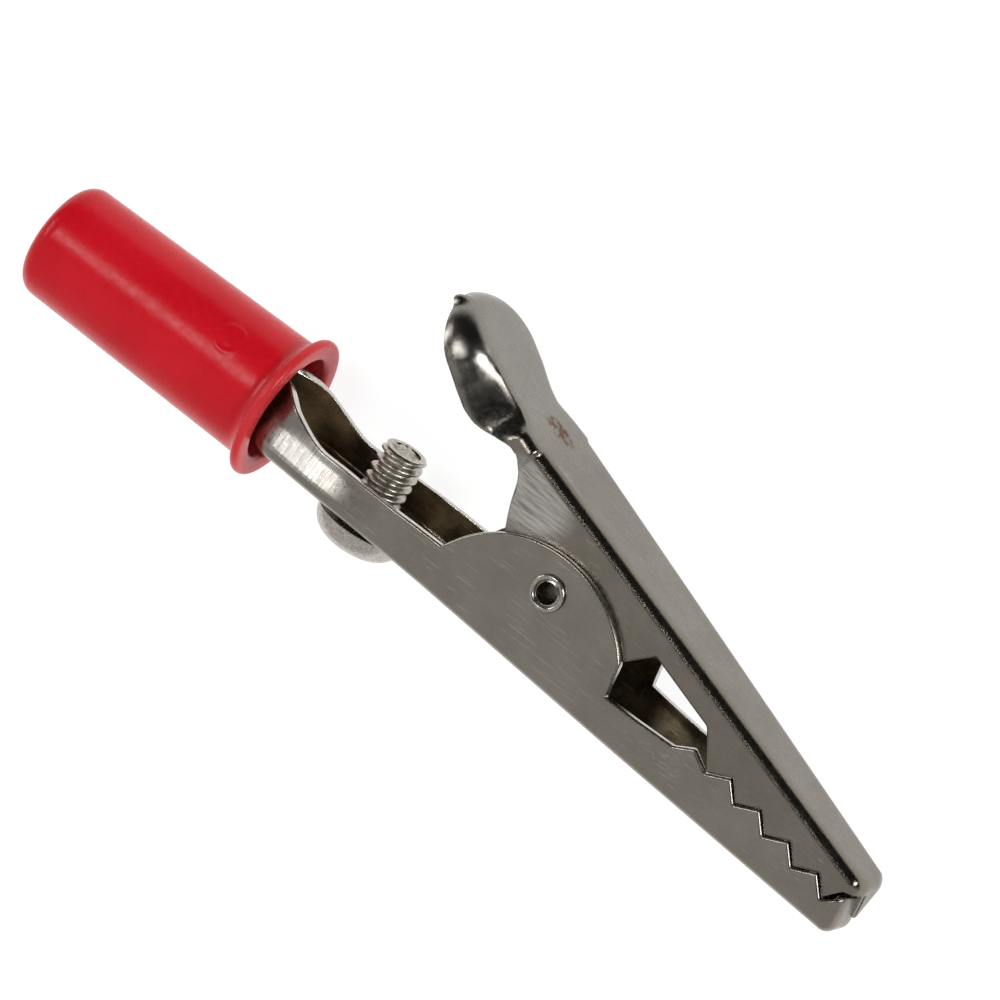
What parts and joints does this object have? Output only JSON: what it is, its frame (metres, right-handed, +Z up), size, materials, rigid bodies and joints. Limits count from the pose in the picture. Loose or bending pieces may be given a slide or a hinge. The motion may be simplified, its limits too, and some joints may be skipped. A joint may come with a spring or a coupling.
{
  "type": "alligator clip with screw terminal",
  "caption": "Sprung toothed clip of pressed plated steel with a screw terminal and a push-on red insulating handle, lying on its side.",
  "frame": {"origin": "middle of the footprint on the surface the clip lies on", "axes": "+X towards the jaw tips, +Y towards the lever side, +Z up, along the pivot; the clip lies on its side"},
  "size_m": [0.0626, 0.018, 0.0093],
  "materials": {
    "nickel_plate": "satin nickel plate on pressed steel, handled and lightly scratched",
    "bright_nickel": "bright nickel plate",
    "spring_steel": "plain drawn spring wire",
    "screw_steel": "nickel-plated screw stock",
    "red_vinyl": "soft satin red vinyl"
  },
  "bodies": {
    "fixed_jaw": {"lower_jaw": "nickel_plate", "pivot_eyelet": "bright_nickel", "torsion_spring": "spring_steel"},
    "moving_jaw": {"upper_jaw": "nickel_plate"},
    "screw": {"terminal_screw": "screw_steel"},
    "handle": {"insulating_handle": "red_vinyl"}
  },
  "joints": [
    {"name": "jaw_pivot", "type": "hinge", "parent": "fixed_jaw", "child": "moving_jaw", "pos_m": [0.00654, -0.00201, 0.00466], "axis": [0, 0, 1], "range_deg": [0, 32], "stiffness_Nm_per_rad": 0.02, "springref_deg": -5.73, "deforming": ["torsion_spring"]},
    {"name": "screw_travel", "type": "slide", "parent": "fixed_jaw", "child": "screw", "axis": [0, -1, 0], "range_m": [0, 0.0035]},
    {"name": "handle_slide", "type": "slide", "parent": "fixed_jaw", "child": "handle", "axis": [-1, 0, 0], "range_m": [0, 0.0085]}
  ]
}
